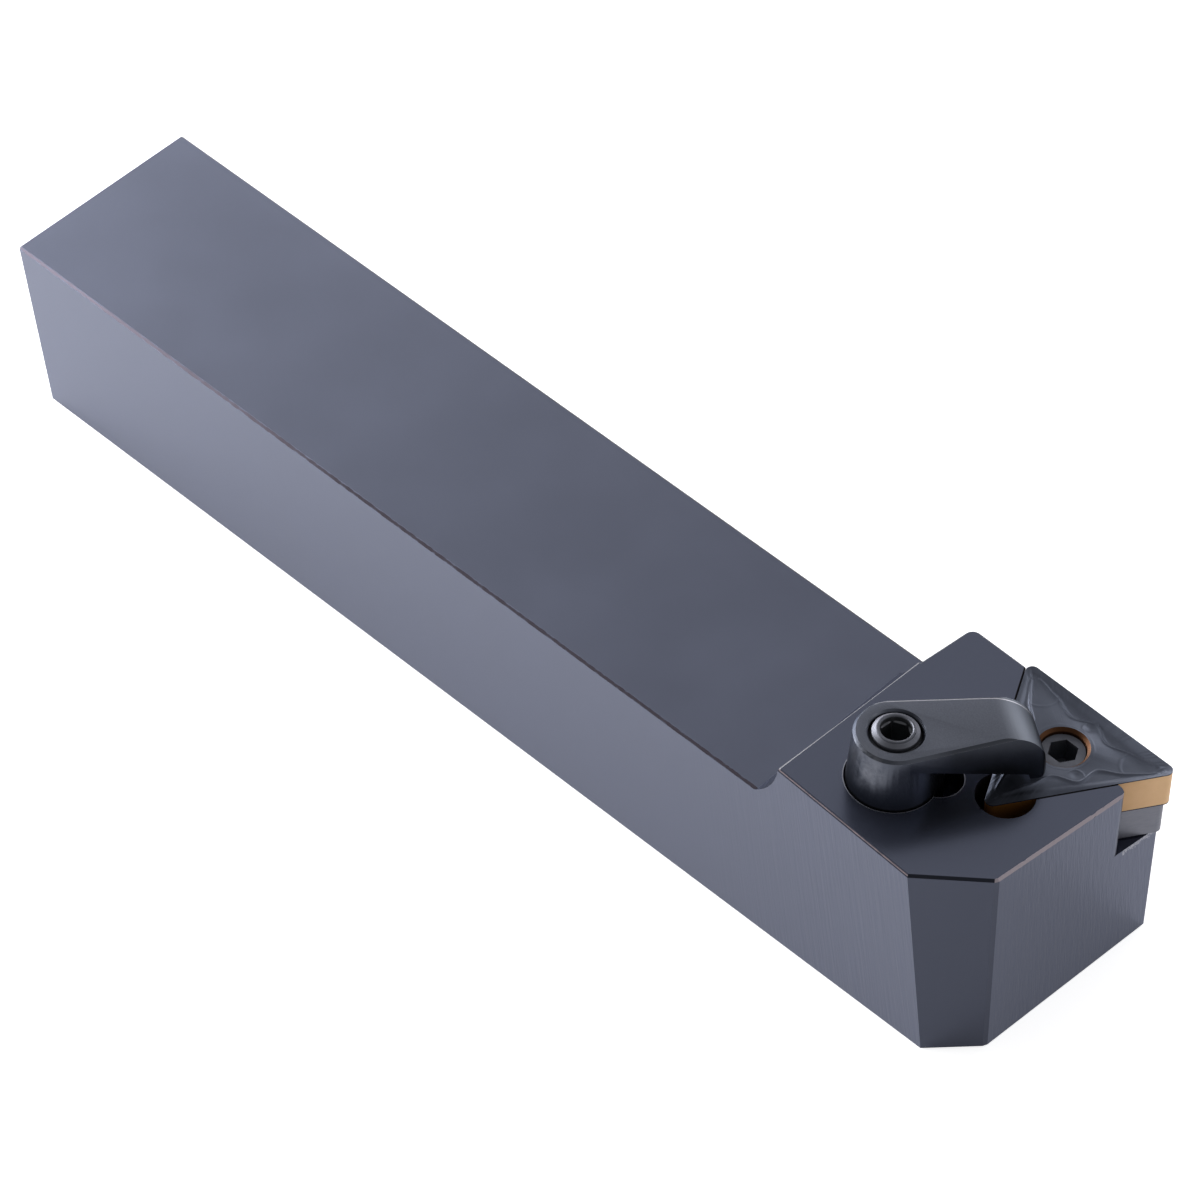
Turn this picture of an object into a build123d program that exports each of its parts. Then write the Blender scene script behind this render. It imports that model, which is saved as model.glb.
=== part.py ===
from build123d import *
from math import acos, atan2, cos, hypot, radians, sin, sqrt, tan
import os

os.makedirs("parts", exist_ok=True)

# An indexable turning tool, in millimetres: X runs along the shank to the cutting corner,
# Y to the cutting side and Z up. The origin is the centre of the face that the shank rests on.

# The shank, and the head that is milled on its end
SHANK_WIDTH = 25.0
SHANK_HEIGHT = 25.0
SHANK_LENGTH = 125.3
HEAD_LENGTH = 31.8            # foot of the step to the sharp cutting corner
CUTTING_OFFSET = 32.0         # right side face to the sharp cutting corner
EDGE_BREAK = 0.3              # small chamfers along the shank
HEAD_TILT = 6.0               # the head's top drops by this angle forwards, and to the left
LEAD_IN = 3.0                 # turn of the long cutting edge from the shank's axis

# Outline of the head
FRONT_SETBACK = 1.5           # front face behind the cutting corner
BACK_WALL = 2.6               # back wall of the overhang past the shank's end
SIDE_SETBACK = 0.7            # left face inside the cutting edge
CORNER_CUT = 6.6              # leg of the cut across the right front corner
CORNER_CUT_TILT = 1.7         # lean of that cut from upright
BACK_CORNER_RADIUS = 1.1
STEP_RADIUS = 10.7            # hollow of the step up to the head
STEP_START = 36.0             # slope at the foot of the step
STEP_TURN = 2.1               # the hollow's axis, turned from across the shank

# The triangular insert and its shim
INSERT_EDGE = 22.0
INSERT_THICKNESS = 4.76
INSERT_NOSE_RADIUS = 0.8
INSERT_HOLE = 5.16
HOLE_MOUTH = 0.35             # bevel at the mouth of the insert's hole
LAND_WIDTH = 0.3              # flat rim behind the cutting edge
BREAKER_DEPTH = 0.22          # chip-breaking channel behind the rim
BREAKER_TIP = 2.46            # plateau's end, from the sharp corner
# Edge of the plateau inside the channel: shares of the half edge, from its middle and inwards
BREAKER_LINE = [(0, 0.095), (0.1, 0.123), (0.227, 0.2), (0.39, 0.145), (0.56, 0.114), (0.745, 0.065)]
SHIM_THICKNESS = 4.76
SHIM_INSET = 0.75             # shim's side behind the insert's side
SHIM_CORNER_RADIUS = 1.2
WALL_GAP = 0.03               # insert to the pocket's walls
WALL_END_RADIUS = 1.1
RELIEF_RADIUS = 3.3           # round relief behind the insert's hidden corner
RELIEF_DEPTH = 3.1            # its centre, from that corner
RELIEF_SHIFT = 0.5
NOSE_OPENING = 6.15           # pocket's front wall ends this far short of the cutting corner
WALL_BACK_RADIUS = 0.6
KEY_SIZE = 3.0                # hex sockets, across flats
KEY_DEPTH = 3.0

# The lock pin
PIN_HEAD = 4.9
PIN_SINK = 0.7                # pin's top below the insert's top
PIN_THREAD = 6.2
PIN_SHOULDER = 0.3            # thread's start below the insert
PIN_LENGTH = 17.5
THREAD_GAP = 0.05
SHIM_HOLE_GAP = 0.15
BORE_SPARE = 1.5              # bores run this far past the ends of what they hold

# The finger clamp and its double-ended screw
SCREW_REACH = 19.1            # insert's centre to the screw
SCREW_DIRECTION = 240.0
CLAMP_SWING = -3.5            # turn of the clamp from the line to the insert's centre
CLAMP_HEIGHT = 7.2
CLAMP_DRAFT = 3.0
CLAMP_BEVEL = 0.3
BOSS_RADIUS = 4.93
NOSE_GAP = 2.45               # finger's blunt end short of the insert's centre
NOSE_WIDTH = 6.1
NOSE_RADIUS = 5.4             # plan curve of the end
NOSE_CORNER = 1.0
ROLL_RADIUS = 5.3             # the finger's top rolls down to its end
NOSE_LEAN = 0.55              # foot of the end ahead of the roll
UNDERSIDE_HEIGHT = 5.7        # flat underside at the screw's axis, sloping down to the pad
PAD_HEIGHT = 1.25             # underside beside the pad
PAD_LENGTH = 2.15             # pad on the insert, back from the finger's end
PAD_SLANT = 0.4               # rear of the pad leans by this much
HEEL_REACH = 3.8              # heel that keeps the clamp from turning in its recess
HEEL_RADIUS = 2.0
HEEL_PLAY = 0.75              # heel to the slot's side
SLOT_REACH = 5.0              # screw to the centre of the slot's round end
SLOT_TURN = -11.5             # slot's direction from the finger's
RECESS_DEPTH = 4.0
RECESS_GAP = 0.19             # round the boss
SCREW_DIAMETER = 5.7
SCREW_PROUD = 0.5             # screw above the clamp's top
SCREW_LENGTH = 24.0
SCREW_END = 0.65              # cone at each end of the screw
CLAMP_BORE_GAP = 0.1
BORE_MOUTH = 0.25

REAR_X = -SHANK_LENGTH / 2
STEP_X = SHANK_LENGTH / 2
TIP_X = STEP_X + HEAD_LENGTH
RIGHT_Y = -SHANK_WIDTH / 2
TIP_Y = RIGHT_Y + CUTTING_OFFSET
NOSE_REACH = SCREW_REACH - NOSE_GAP
CLEAR = SHANK_WIDTH + CUTTING_OFFSET    # cuts and blanks run this far past the head
SHORT_EDGE = 1.0              # edges shorter than this keep no chamfer
TOLERANCE = 0.01              # for telling edges apart by their place or size

# The tilted plane of the head's top and of the insert's top, with its origin at the insert's
# centre, its x along the long cutting edge and the cutting corner at x and y above zero
SLOPE = tan(radians(HEAD_TILT))
UP = Vector(SLOPE, SLOPE, 1).normalized()
FORWARD = Vector(cos(radians(LEAD_IN)), sin(radians(LEAD_IN)), 0)
FORWARD = (FORWARD - UP * FORWARD.dot(UP)).normalized()
ACROSS = UP.cross(FORWARD)
INSERT_IN = INSERT_EDGE / (2 * sqrt(3))
INSERT_OUT = INSERT_EDGE / sqrt(3)
TIP = Vector(TIP_X, TIP_Y, SHANK_HEIGHT)
CENTRE = TIP - FORWARD * (INSERT_EDGE / 2) - ACROSS * INSERT_IN
head_top = Plane(origin=CENTRE, x_dir=FORWARD, z_dir=UP)
POCKET_DEPTH = INSERT_THICKNESS + SHIM_THICKNESS


def top_height(x, y):
    """Height of the head's top plane over a place on the shank's seat."""
    return SHANK_HEIGHT - SLOPE * (x - TIP_X) - SLOPE * (y - TIP_Y)


def on_top(x, y):
    """A place over the seat, in the coordinates of the head's top plane."""
    spot = head_top.to_local_coords(Vector(x, y, top_height(x, y)))
    return (spot.X, spot.Y)


def turned(point, angle):
    """A point turned about the origin, the angle in degrees."""
    x, y = point
    c, s = cos(radians(angle)), sin(radians(angle))
    return (x * c - y * s, x * s + y * c)


def triangle(reach):
    """Corners of an upright triangle at a distance from its centre, the cutting corner first."""
    return [turned((reach, 0), angle) for angle in (30, 150, 270)]


def is_circle_of(radius):
    """A test that picks full circular edges of one radius."""
    return lambda edge: edge.geom_type == GeomType.CIRCLE and abs(edge.radius - radius) < TOLERANCE


def finger_outline():
    """Edges of the clamp's plan: a boss round the origin, straight sides and a blunt end."""
    nose = (NOSE_REACH - NOSE_RADIUS + sqrt(NOSE_RADIUS**2 - NOSE_WIDTH**2 / 4), NOSE_WIDTH / 2)
    lean = atan2(nose[1], nose[0]) + acos(BOSS_RADIUS / hypot(*nose))
    side = (BOSS_RADIUS * cos(lean), BOSS_RADIUS * sin(lean))
    Line((side[0], -side[1]), (nose[0], -nose[1]))
    ThreePointArc((nose[0], -nose[1]), (NOSE_REACH, 0), nose)
    Line(nose, side)
    ThreePointArc(side, (-BOSS_RADIUS, 0), (side[0], -side[1]))


# The clamp's own plane: origin on the screw's axis in the head's top, x along the finger
SCREW_X, SCREW_Y = turned((SCREW_REACH, 0), SCREW_DIRECTION)
CLAMP_ANGLE = SCREW_DIRECTION - 180 + CLAMP_SWING
SCREW_FOOT = head_top.from_local_coords(Vector(SCREW_X, SCREW_Y, 0))
ALONG = FORWARD * cos(radians(CLAMP_ANGLE)) + ACROSS * sin(radians(CLAMP_ANGLE))
clamp_top = Plane(origin=SCREW_FOOT, x_dir=ALONG, z_dir=UP)
clamp_side = Plane(origin=SCREW_FOOT, x_dir=ALONG, z_dir=ALONG.cross(UP))
clamp_axis = Axis(SCREW_FOOT, UP)


# Holder: shank and head of one bar, with the step, the pocket and the clamp's recess
front_x = TIP_X - FRONT_SETBACK
back_x = STEP_X + BACK_WALL
front_left = on_top(front_x, TIP_Y)
back_left = on_top(back_x, TIP_Y)
front_right = on_top(front_x, RIGHT_Y - CUTTING_OFFSET)
back_right = on_top(back_x, RIGHT_Y - CUTTING_OFFSET)
left_line = INSERT_IN - SIDE_SETBACK
cut_x = front_x - CORNER_CUT
cut_normal = Vector(1, -1, -sqrt(2) * tan(radians(CORNER_CUT_TILT)))
corner_plane = Plane(origin=(cut_x, RIGHT_Y, top_height(cut_x, RIGHT_Y)), z_dir=cut_normal)
step_height = STEP_RADIUS * cos(radians(STEP_START))
step_back = STEP_RADIUS * sin(radians(STEP_START))
step_plane = Plane(
    origin=(STEP_X - step_back, RIGHT_Y, SHANK_HEIGHT),
    x_dir=(cos(radians(STEP_TURN)), sin(radians(STEP_TURN)), 0),
    z_dir=(sin(radians(STEP_TURN)), -cos(radians(STEP_TURN)), 0),
)
# Width at which the crest meets the back wall: the hollow's circle has the head top's height
crest_rise = step_height + SHANK_HEIGHT - top_height(back_x, RIGHT_Y)
crest_run = (BACK_WALL + step_back) * cos(radians(STEP_TURN))
crest_lean = crest_rise * SLOPE + crest_run * sin(radians(STEP_TURN))
crest_turn = SLOPE**2 + sin(radians(STEP_TURN)) ** 2
crest_left = STEP_RADIUS**2 - crest_rise**2 - crest_run**2
crest_width = (sqrt(crest_lean**2 + crest_turn * crest_left) - crest_lean) / crest_turn
pocket_apex = (0, -INSERT_OUT - 2 * WALL_GAP)
pocket_reach = 2 * INSERT_EDGE
pocket_right = (pocket_reach * cos(radians(60)), pocket_apex[1] + pocket_reach * sin(radians(60)))
pocket_left = (-pocket_right[0], pocket_right[1])
relief_spot = (RELIEF_SHIFT, -INSERT_OUT + RELIEF_DEPTH)
step_reach = BACK_WALL + BACK_CORNER_RADIUS

nose_spot = on_top(TIP_X - NOSE_OPENING, TIP_Y - NOSE_OPENING)
roll_low = CLAMP_HEIGHT - ROLL_RADIUS
roll_reach = ROLL_RADIUS + NOSE_LEAN
roll_lean = acos(ROLL_RADIUS / hypot(roll_reach, roll_low)) - atan2(roll_low, roll_reach)
roll_x = NOSE_REACH - roll_reach
roll_start = (roll_x, CLAMP_HEIGHT)
roll_end = (roll_x + ROLL_RADIUS * cos(roll_lean), roll_low + ROLL_RADIUS * sin(roll_lean))
pad_foot = (NOSE_REACH - PAD_LENGTH, 0)
pad_start = (pad_foot[0] - PAD_SLANT, PAD_HEIGHT)
past_nose = NOSE_REACH + ROLL_RADIUS
screw_bore = SCREW_LENGTH - CLAMP_HEIGHT - SCREW_PROUD + BORE_SPARE
pin_bore = PIN_SINK + PIN_LENGTH + BORE_SPARE

with BuildPart() as holder:
    with BuildSketch(head_top):
        with BuildLine():
            Polyline(front_right, front_left, back_left, back_right, close=True)
        make_face()
        with Locations((0, left_line)):
            Rectangle(4 * CLEAR, CLEAR, align=(Align.CENTER, Align.MIN), mode=Mode.SUBTRACT)
    extrude(amount=CLEAR, both=True)
    uprights = holder.edges().filter_by(Axis((0, 0, 0), tuple(UP)))
    fillet(uprights.group_by(Axis.X)[0].sort_by(Axis.Y)[-1], BACK_CORNER_RADIUS)
    split(bisect_by=head_top, keep=Keep.BOTTOM)

    # Chamfer along the overhang's top, before the hollow's filling covers a part of it
    top_edges = holder.faces().sort_by(Axis(CENTRE, UP))[-1].edges()
    chamfer(top_edges.sort_by(Axis(CENTRE, ACROSS))[-1], EDGE_BREAK)

    # Filling under the hollow, which ends where the crest meets the back wall
    with BuildSketch(Plane.XY):
        with Locations((STEP_X - step_back, RIGHT_Y)):
            Rectangle(step_back + step_reach, crest_width, align=(Align.MIN, Align.MIN))
    extrude(amount=CLEAR)
    split(bisect_by=head_top, keep=Keep.BOTTOM)
    split(bisect_by=Plane.XY, keep=Keep.TOP)
    split(bisect_by=Plane.XZ.offset(-RIGHT_Y), keep=Keep.BOTTOM)
    split(bisect_by=corner_plane, keep=Keep.BOTTOM)
    with BuildSketch(step_plane):
        with Locations((0, step_height)):
            Circle(STEP_RADIUS)
        Rectangle(4 * STEP_RADIUS, CLEAR, align=(Align.CENTER, Align.MIN), mode=Mode.INTERSECT)
    extrude(amount=CLEAR, both=True, mode=Mode.SUBTRACT)
    with BuildSketch(Plane.XY):
        with Locations((REAR_X, RIGHT_Y)):
            Rectangle(SHANK_LENGTH + step_reach, SHANK_WIDTH, align=(Align.MIN, Align.MIN))
    extrude(amount=SHANK_HEIGHT)

    # Small chamfers on the other outer edges, apart from the crest and the upright at the insert
    outer = holder.edges().filter_by(lambda edge: edge.length > SHORT_EDGE)
    rear_edges = outer.filter_by_position(Axis.X, REAR_X - EDGE_BREAK, REAR_X + EDGE_BREAK)
    long_edges = outer.filter_by(Axis.X).filter_by(lambda edge: edge.length > SHANK_LENGTH / 2)
    top_edges = outer.filter_by(lambda edge: abs((edge.center() - CENTRE).dot(UP)) < TOLERANCE)
    near_edge = top_edges.sort_by(Axis.Y)[0]
    front_edges = outer.filter_by(lambda edge: edge.center().X > cut_x - EDGE_BREAK) - long_edges
    front_edges = front_edges.sort_by(Axis.Y)[:-1]
    chamfer(rear_edges + long_edges + front_edges + [near_edge], EDGE_BREAK)

    # Pocket for the shim and insert: two walls, open at the nose, with a relief in the corner
    with BuildSketch(head_top):
        with BuildLine():
            Polyline(pocket_apex, pocket_right, pocket_left, close=True)
        make_face()
        with Locations(Location((*nose_spot, 0), (0, 0, -LEAD_IN))):
            Rectangle(CLEAR, CLEAR, align=(Align.MIN, Align.MIN))
    extrude(amount=-POCKET_DEPTH, mode=Mode.SUBTRACT)
    uprights = holder.edges().filter_by(Axis((0, 0, 0), tuple(UP)))
    wall_ends = uprights.filter_by(lambda edge: abs(edge.length - POCKET_DEPTH) < 2 * EDGE_BREAK)
    fillet(wall_ends.sort_by(Axis.X)[-1], WALL_END_RADIUS)
    uprights = holder.edges().filter_by(Axis((0, 0, 0), tuple(UP)))
    wall_ends = uprights.filter_by(lambda edge: abs(edge.length - POCKET_DEPTH) < 2 * EDGE_BREAK)
    fillet(wall_ends.sort_by(Axis.X)[0], WALL_BACK_RADIUS)
    with BuildSketch(head_top):
        with Locations(relief_spot):
            Circle(RELIEF_RADIUS)
    extrude(amount=-POCKET_DEPTH, mode=Mode.SUBTRACT)

    # Recess that the clamp stands in, and the threaded bores of the screw and the lock pin
    with BuildSketch(clamp_top):
        Circle(BOSS_RADIUS + RECESS_GAP)
        with Locations(turned((SLOT_REACH, 0), SLOT_TURN)):
            Circle(HEEL_RADIUS + HEEL_PLAY)
    extrude(amount=-RECESS_DEPTH, mode=Mode.SUBTRACT)
    with BuildSketch(clamp_top):
        Circle(SCREW_DIAMETER / 2 + THREAD_GAP)
    extrude(amount=-screw_bore, mode=Mode.SUBTRACT)
    with BuildSketch(head_top):
        Circle(PIN_THREAD / 2 + THREAD_GAP)
    extrude(amount=-pin_bore, mode=Mode.SUBTRACT)
holder.part.label = "holder"
export_step(holder.part, "parts/holder.step")

# Shim: the hard plate under the insert, a little smaller all round
with BuildPart() as shim:
    with BuildSketch(head_top.offset(-INSERT_THICKNESS)) as shim_outline:
        with BuildLine():
            Polyline(*triangle(INSERT_OUT - 2 * SHIM_INSET), close=True)
        make_face()
        fillet(shim_outline.vertices(), SHIM_CORNER_RADIUS)
        Circle(PIN_THREAD / 2 + SHIM_HOLE_GAP, mode=Mode.SUBTRACT)
    extrude(amount=-SHIM_THICKNESS)
shim.part.label = "shim"
export_step(shim.part, "parts/shim.step")

# Insert: a double-sided triangle with a chip-breaking channel behind each cutting edge
half_edge = INSERT_EDGE / 2
plateau_half = [(out * half_edge, INSERT_IN - inset * half_edge) for out, inset in BREAKER_LINE]
plateau_side = [(-x, y) for x, y in reversed(plateau_half[1:])] + plateau_half
plateau_tip = turned((INSERT_OUT - BREAKER_TIP, 0), 30)

with BuildPart() as insert:
    with BuildSketch(head_top) as insert_outline:
        with BuildLine():
            Polyline(*triangle(INSERT_OUT), close=True)
        make_face()
        fillet(insert_outline.vertices(), INSERT_NOSE_RADIUS)
    extrude(amount=-INSERT_THICKNESS)
    with BuildSketch(head_top, head_top.offset(BREAKER_DEPTH - INSERT_THICKNESS)) as channel:
        with BuildLine():
            Polyline(*triangle(INSERT_OUT - 2 * LAND_WIDTH), close=True)
        make_face()
        fillet(channel.vertices(), INSERT_NOSE_RADIUS - LAND_WIDTH)
        with BuildLine():
            for turn in (0, -120, -240):
                Spline(*[turned(point, turn) for point in plateau_side])
                ThreePointArc(
                    turned(plateau_side[-1], turn),
                    turned(plateau_tip, turn),
                    turned(plateau_side[0], turn - 120),
                )
        make_face(mode=Mode.SUBTRACT)
    extrude(amount=-BREAKER_DEPTH, mode=Mode.SUBTRACT)
    with BuildSketch(head_top):
        Circle(INSERT_HOLE / 2)
    extrude(amount=-INSERT_THICKNESS, mode=Mode.SUBTRACT)
    chamfer(insert.edges().filter_by(is_circle_of(INSERT_HOLE / 2)), HOLE_MOUTH)
insert.part.label = "insert"
export_step(insert.part, "parts/insert.step")

# Lock pin: its head fills the insert's hole and its thread goes through the shim
with BuildPart() as lock_pin:
    with BuildSketch(head_top.offset(-PIN_SINK)):
        Circle(PIN_HEAD / 2)
    extrude(amount=-(INSERT_THICKNESS + PIN_SHOULDER - PIN_SINK))
    with BuildSketch(head_top.offset(-INSERT_THICKNESS - PIN_SHOULDER)):
        Circle(PIN_THREAD / 2)
    extrude(amount=-(PIN_LENGTH + PIN_SINK - INSERT_THICKNESS - PIN_SHOULDER))
    with BuildSketch(head_top.offset(-PIN_SINK)):
        RegularPolygon(KEY_SIZE / 2, 6, major_radius=False)
    extrude(amount=-KEY_DEPTH, mode=Mode.SUBTRACT)
lock_pin.part.label = "lock_pin"
export_step(lock_pin.part, "parts/lock_pin.step")

# Clamp: a boss round the screw, with a finger that reaches over onto the insert
with BuildPart() as clamp:
    with BuildSketch(clamp_top) as finger:
        with BuildLine():
            finger_outline()
        make_face()
        fillet(finger.vertices().group_by(Axis.X)[-1], NOSE_CORNER)
    extrude(amount=CLAMP_HEIGHT, taper=CLAMP_DRAFT)
    chamfer(clamp.faces().sort_by(clamp_axis)[-1].edges(), CLAMP_BEVEL)
    with BuildSketch(clamp_side):
        with BuildLine():
            Polyline(roll_start, (past_nose, CLAMP_HEIGHT), (past_nose, 0), (NOSE_REACH, 0), roll_end)
            RadiusArc(roll_start, roll_end, ROLL_RADIUS)
        make_face()
    extrude(amount=2 * BOSS_RADIUS, both=True, mode=Mode.SUBTRACT)
    with BuildSketch(clamp_side):
        with BuildLine():
            Polyline((0, 0), (0, UNDERSIDE_HEIGHT), pad_start, pad_foot, close=True)
        make_face()
    extrude(amount=2 * BOSS_RADIUS, both=True, mode=Mode.SUBTRACT)
    with BuildSketch(clamp_top):
        Circle(BOSS_RADIUS)
    extrude(amount=UNDERSIDE_HEIGHT, taper=CLAMP_DRAFT)
    with BuildSketch(clamp_top.offset(-RECESS_DEPTH)):
        Circle(BOSS_RADIUS)
    extrude(amount=RECESS_DEPTH)
    with BuildSketch(clamp_top.offset(-RECESS_DEPTH)):
        with Locations((HEEL_REACH, 0)):
            Circle(HEEL_RADIUS)
    extrude(amount=RECESS_DEPTH + UNDERSIDE_HEIGHT)
    with BuildSketch(clamp_top.offset(CLAMP_HEIGHT)):
        Circle(SCREW_DIAMETER / 2 + CLAMP_BORE_GAP)
    extrude(amount=-CLAMP_HEIGHT - RECESS_DEPTH, mode=Mode.SUBTRACT)
    chamfer(clamp.edges().filter_by(is_circle_of(SCREW_DIAMETER / 2 + CLAMP_BORE_GAP)), BORE_MOUTH)
clamp.part.label = "clamp"
export_step(clamp.part, "parts/clamp.step")

# Clamp screw: threaded at both ends, with a hex socket in each end
with BuildPart() as clamp_screw:
    with BuildSketch(clamp_top.offset(CLAMP_HEIGHT + SCREW_PROUD)):
        Circle(SCREW_DIAMETER / 2)
    extrude(amount=-SCREW_LENGTH)
    chamfer(clamp_screw.edges().filter_by(is_circle_of(SCREW_DIAMETER / 2)), SCREW_END)
    with BuildSketch(clamp_top.offset(CLAMP_HEIGHT + SCREW_PROUD)):
        RegularPolygon(KEY_SIZE / 2, 6, major_radius=False)
    extrude(amount=-KEY_DEPTH, mode=Mode.SUBTRACT)
    with BuildSketch(clamp_top.offset(CLAMP_HEIGHT + SCREW_PROUD - SCREW_LENGTH)):
        RegularPolygon(KEY_SIZE / 2, 6, major_radius=False)
    extrude(amount=KEY_DEPTH, mode=Mode.SUBTRACT)
clamp_screw.part.label = "clamp_screw"
export_step(clamp_screw.part, "parts/clamp_screw.step")
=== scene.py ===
# Looks of an indexable turning tool: a triangular insert in a square holder, under a finger clamp
from math import cos, pi, radians, sin, sqrt, tan

import bmesh
import bpy
import numpy as np
from mathutils import Matrix, Vector


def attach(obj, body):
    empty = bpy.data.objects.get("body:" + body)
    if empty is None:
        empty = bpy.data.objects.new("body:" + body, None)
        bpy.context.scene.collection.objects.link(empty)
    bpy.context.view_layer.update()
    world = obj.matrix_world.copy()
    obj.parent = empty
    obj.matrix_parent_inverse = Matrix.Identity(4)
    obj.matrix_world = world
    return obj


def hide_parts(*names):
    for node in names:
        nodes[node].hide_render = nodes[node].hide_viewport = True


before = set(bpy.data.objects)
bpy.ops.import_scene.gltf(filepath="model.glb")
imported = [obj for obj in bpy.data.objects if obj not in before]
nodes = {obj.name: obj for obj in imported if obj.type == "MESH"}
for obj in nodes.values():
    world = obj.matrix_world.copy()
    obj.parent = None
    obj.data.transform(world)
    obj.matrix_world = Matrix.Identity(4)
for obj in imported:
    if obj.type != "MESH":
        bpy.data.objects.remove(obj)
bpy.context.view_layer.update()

MM = 0.001


# ---------------------------------------------------------------- holder
# The holder is one bar of alloy steel, milled, hardened and blackened in hot salts.
# The oxide is a thin dark skin over bright metal, which wears through first on sharp edges.

def linear(code):
    """A colour written as sRGB hex, as the linear values that a shader takes."""
    parts = [int(code[i:i + 2], 16) / 255 for i in (1, 3, 5)]
    return [*(p / 12.92 if p <= 0.04045 else ((p + 0.055) / 1.055) ** 2.4 for p in parts), 1.0]


def add_node(tree, kind, inputs=(), **settings):
    """Adds one node: settings first, then its inputs, by name or in the order that the node shows.
    Each is a value, a socket, or another node, which is linked from its first output in use."""
    node = tree.nodes.new("ShaderNode" + kind)
    for name, value in settings.items():
        setattr(node, name, value)
    sockets = [socket for socket in node.inputs if socket.enabled]
    if isinstance(inputs, dict):
        sockets = [node.inputs[name] for name in inputs]
        inputs = inputs.values()
    for socket, value in zip(sockets, inputs):
        if isinstance(value, bpy.types.Node):
            value = next(output for output in value.outputs if output.enabled)
        if isinstance(value, bpy.types.NodeSocket):
            tree.links.new(value, socket)
        else:
            socket.default_value = value
    return node


def new_material(name):
    """An empty material, with its object coordinates."""
    material = bpy.data.materials.new(name)
    material.use_nodes = True
    tree = material.node_tree
    tree.nodes.clear()
    place = add_node(tree, "TexCoord").outputs["Object"]
    return material, tree, place


def coat(piece, *materials):
    """Gives a piece its materials, in the order that its faces count them."""
    piece.data.materials.clear()
    for material in materials:
        piece.data.materials.append(material)


# The plane of the head's top is tilted both ways. The insert's upper face lies in it, with its tip
# at the place given here. The shim, the insert and the screw are modelled upright and set on it.
TILT, LEAD = radians(6), radians(3)                # the plane's tilt, and the turn of the long edge
TIP = Vector((94.45, 19.5, 25.0)) * MM             # sharp corner that the nose rounds off
HALF_EDGE = 11 * MM
INSERT_IN = 6.351 * MM                             # insert's centre to a side
UP = Vector((tan(TILT), tan(TILT), 1)).normalized()
FORWARD = Vector((cos(LEAD), sin(LEAD), 0))
FORWARD = (FORWARD - UP * FORWARD.dot(UP)).normalized()
ACROSS = UP.cross(FORWARD)
CENTRE = TIP - FORWARD * HALF_EDGE - ACROSS * INSERT_IN


def in_plane(turn):
    """A direction in the tilted plane, turned from that of the long edge."""
    return FORWARD * cos(turn) + ACROSS * sin(turn)


SCREW_REACH, SCREW_TURN = 19.1 * MM, radians(240)  # clamp's screw, from the insert's centre
SCREW_FOOT = CENTRE + in_plane(SCREW_TURN) * SCREW_REACH
FINGER_TURN = SCREW_TURN - pi - radians(3.5)       # nearly back to the insert's centre
ALONG = in_plane(FINGER_TURN)

SHANK_TOP = 25 * MM
STEP_X = 62.65 * MM                                # the shank ends here and the head begins
HOLLOW_FROM, HEAD_FROM = STEP_X - 5 * MM, STEP_X + 2 * MM
CREST_X, CREST_TURN = 65.94 * MM, 0.0723           # line where the hollow meets the head's top
BREAK = 0.3 * MM                                   # size of the small chamfers
RECESS_RADIUS = 5.12 * MM                          # recess round the clamp's boss
SLOT_REACH, SLOT_TURN = 5 * MM, radians(-11.5)     # slot for the clamp's heel, from the screw
SLOT_RADIUS = 2.75 * MM
POCKET_DEPTH = 9.52 * MM                           # insert and shim together
WALL_TURNS = radians(210), radians(330)            # from the insert's centre square to the walls
WALL_FOOT_Y = 12.6 * MM                            # past here the pocket's floor opens to the front

LINE = 0.05 * MM                                   # half the width of a hairline
SHANK_LINE, HEAD_LINE, FRONT_LINE = 2.2 * LINE, 0.7 * LINE, 3.5 * LINE  # on small chamfers
LINE_PALE_X, LINE_DARK_X = -50 * MM, -5 * MM       # the shank's line is painted from pale to dark between these
BURR_TEAR = 0.3 * MM                               # length of the burr's tongues
BURR_SHORT, BURR_LONG = 0.25 * MM, 0.95 * MM       # how far it hangs under the pocket's floor
MARK_SPACING = 0.42 * MM                           # end mill marks
MARKS_FROM, MARKS_TO = STEP_X - 14 * MM, STEP_X + 10 * MM
GRAIN_SIZE = 0.2 * MM                              # grain of the skin, as fine as it still shows
CLOUD_SIZE = 15 * MM                               # patches in the blackening

black_oxide, tree, place = new_material("black_oxide_steel")
normal = add_node(tree, "TexCoord").outputs["Normal"]
facing = add_node(tree, "SeparateXYZ", (normal,)).outputs
spot = add_node(tree, "SeparateXYZ", (place,)).outputs

# Hot salts leave a blue-black skin that is faintly cloudy and has a fine grain.
cloud = add_node(tree, "TexNoise", {
    "Vector": place, "Scale": 1 / CLOUD_SIZE, "Detail": 5.0, "Roughness": 0.6,
})
fleck = add_node(tree, "TexNoise", {"Vector": place, "Scale": 1 / (5 * GRAIN_SIZE), "Detail": 4.0})
grain = add_node(tree, "TexNoise", {"Vector": place, "Scale": 1 / GRAIN_SIZE, "Detail": 2.0})
skin = add_node(tree, "ValToRGB", {"Fac": cloud})
skin.color_ramp.elements[0].color = linear("#6c7183")
skin.color_ramp.elements[1].color = linear("#707588")

# Depth under the top that a point belongs to: the shank's, or the head's tilted one.
shank_depth = add_node(tree, "Math", (SHANK_TOP, spot["Z"]), operation="SUBTRACT")
from_centre = add_node(tree, "VectorMath", (place, CENTRE), operation="SUBTRACT")
over_head = add_node(tree, "VectorMath", (from_centre, UP), operation="DOT_PRODUCT")
head_depth = add_node(tree, "Math", (over_head, -1.0), operation="MULTIPLY")
on_head = add_node(tree, "Math", (spot["X"], HEAD_FROM), operation="GREATER_THAN")
depth = add_node(tree, "Mix", (on_head, shank_depth, head_depth))

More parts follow.
